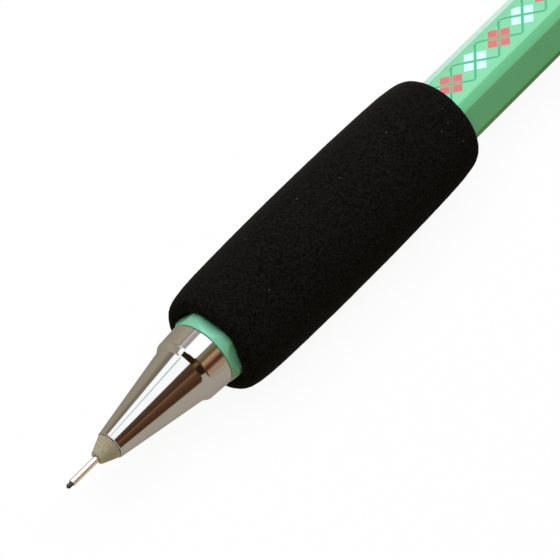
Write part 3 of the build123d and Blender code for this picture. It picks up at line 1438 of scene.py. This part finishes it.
@dataclass(frozen=True)
class Viewpoint:
    """The camera, placed as the photograph was taken.

    Attributes:
        target: The middle of the grip.
        tilt: How far the pencil's tip leans towards the camera, in degrees.
        roll: How far the camera stands round the pencil from straight above, in degrees.
        distance: How far away the camera stands.
        slope: Angle of the pencil's axis in the picture, in degrees above level.
        pixel: Where the middle of the grip lies in the picture, from its top left.
        scale: Pixels to a metre at the middle of the grip.
        picture: Width of the square picture in pixels.
        sensor: Width of the camera's sensor in millimetres.
        nearest: Least distance that the camera shows.
        farthest: Greatest distance that it shows.
    """

    target: Vector
    tilt: float
    roll: float
    distance: float
    slope: float
    pixel: tuple[float, float]
    scale: float
    picture: int = 560
    sensor: float = 36.0
    nearest: float = 0.01
    farthest: float = 20.0

    def build(self) -> bpy.types.Object:
        """Makes the scene's camera.

        Returns:
            The camera's object.
        """
        tilt, roll = math.radians(self.tilt), math.radians(self.roll)
        above = Vector((0, -math.sin(roll), math.cos(roll)))
        back = above * math.cos(tilt) - Vector((math.sin(tilt), 0, 0))
        axis = Vector((1, 0, 0))
        along = (axis - axis.dot(back) * back).normalized()
        beside = back.cross(along)
        angle = math.radians(self.slope)
        right = math.cos(angle) * along - math.sin(angle) * beside
        up = math.sin(angle) * along + math.cos(angle) * beside
        focal = self.scale * self.distance
        half = self.picture / 2
        ray = Vector((self.pixel[0] - half, half - self.pixel[1], -focal)).normalized()
        aim = ray.rotation_difference(Vector((0, 0, -1))).to_matrix()
        turn = Matrix((right, up, back)).transposed() @ aim
        lens = bpy.data.cameras.new("camera")
        lens.sensor_width = self.sensor
        lens.lens = focal / self.picture * self.sensor
        lens.clip_start = self.nearest
        lens.clip_end = self.farthest
        camera = bpy.data.objects.new("camera", lens)
        bpy.context.scene.collection.objects.link(camera)
        stand = Matrix.Translation(self.target + back * self.distance)
        camera.matrix_world = stand @ turn.to_4x4()
        bpy.context.scene.camera = camera
        return camera


CHROME = Metal((0.55, 0.545, 0.54), 0.05, Grain.TURNED, relief=0.03, haze=0.05)
FINISHES = {
    "graphite": Graphite((0.038, 0.030, 0.028), shine=(0.105, 0.086, 0.082)),
    "sleeve_steel": Metal((0.92, 0.89, 0.78), 0.36, Grain.DRAWN, relief=0.10, haze=0.08),
    "satin_nickel": Metal((0.61, 0.555, 0.42), 0.80, Grain.BLASTED, relief=0.06, haze=0.10),
    "seal_rubber": Rubber((0.03, 0.03, 0.03), soiled=(0.06, 0.06, 0.06), wear=0.4),
    "chrome_plate": CHROME,
    "bush_brass": Metal((0.72, 0.52, 0.22), 0.22, Grain.TURNED, relief=0.30, haze=0.12),
    "housing_plastic": Plastic((0.78, 0.78, 0.73), 0.35, ripple=0.15),
    "ring_brass": Metal((0.76, 0.56, 0.25), 0.14, Grain.TURNED, relief=0.15, haze=0.08),
    "chuck_brass": Metal((0.70, 0.50, 0.21), 0.26, Grain.TURNED, relief=0.30, haze=0.12),
    "spring_steel": Metal((0.52, 0.52, 0.52), 0.20, Grain.DRAWN, relief=0.15, haze=0.10),
    "connector_plastic": Plastic((0.76, 0.76, 0.71), 0.38, ripple=0.15),
    "tube_plastic": Plastic((0.80, 0.83, 0.81), 0.28, ripple=0.08),
    "ferrule_aluminium": Metal((0.72, 0.72, 0.73), 0.24, Grain.TURNED, relief=0.25, haze=0.12),
    "eraser_rubber": Rubber((0.83, 0.82, 0.78), soiled=(0.45, 0.44, 0.43), wear=0.35),
    "button_chrome": CHROME,
    "tail_chrome": CHROME,
    "mint_plastic": PrintedPlastic(
        colour=(0.157, 0.565, 0.272),
        first=(0.54, 0.11, 0.09),
        second=(0.55, 0.95, 0.78),
        line=(0.012, 0.36, 0.15),
        # A paler front end: a painted highlight on the collar.
        rubbed=(0.195, 0.565, 0.345),
    ),
    "black_foam": Foam(
        pit=(0.0003, 0.0002, 0.0001), face=(0.0090, 0.0083, 0.0064), cell=0.30 * MM
    ),
}


def dress(materials: dict[str, bpy.types.Material]) -> None:
    """Gives every carried-over solid the finish of its material slot.

    Args:
        materials: Material by slot.
    """
    for part in frame["record"]["subparts"]:
        solid = frame["nodes"][part["node"]]
        solid.material_slots[0].material = materials[part["material_slot"]]
        log.info("%s dressed as %s", part["node"], part["material_slot"])


def coat(piece: bpy.types.Object, material: bpy.types.Material) -> None:
    """Gives a newly modelled piece its material, and reports it.

    Args:
        piece: The piece.
        material: Its only material.
    """
    piece.data.materials.clear()
    piece.data.materials.append(material)
    log.info("%s modelled with %d faces", piece.name, len(piece.data.polygons))


def main() -> None:
    """Dresses the solids, models the grip, spring and bush, and sets up studio and camera."""
    logging.basicConfig(level=logging.INFO, format="%(name)s: %(message)s")
    bpy.context.scene.view_settings.view_transform = "Standard"
    materials = {slot: finish.make(slot) for slot, finish in FINISHES.items()}
    dress(materials)
    low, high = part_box("foam_grip")
    coat(FoamGrip(low.x, high.x, high.z).build(), materials["black_foam"])
    front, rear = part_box("return_spring")
    push = next(joint for joint in frame["joints"] if joint["name"] == "button_push")
    spring = ReturnSpring(front.x, rear.x, rear.y, travel=push["range_m"][1])
    coat(spring.build(), materials["spring_steel"])
    coat(ThreadedBush().build(), materials["bush_brass"])
    Studio(low.z).build()
    Viewpoint(
        target=Vector((44.78 * MM, 0, 0)),
        tilt=28.5,
        roll=20.3,
        distance=0.400,
        slope=44.6,
        pixel=(326.7, 231.8),
        scale=8630.0,
    ).build()


if __name__ == "__main__":
    main()
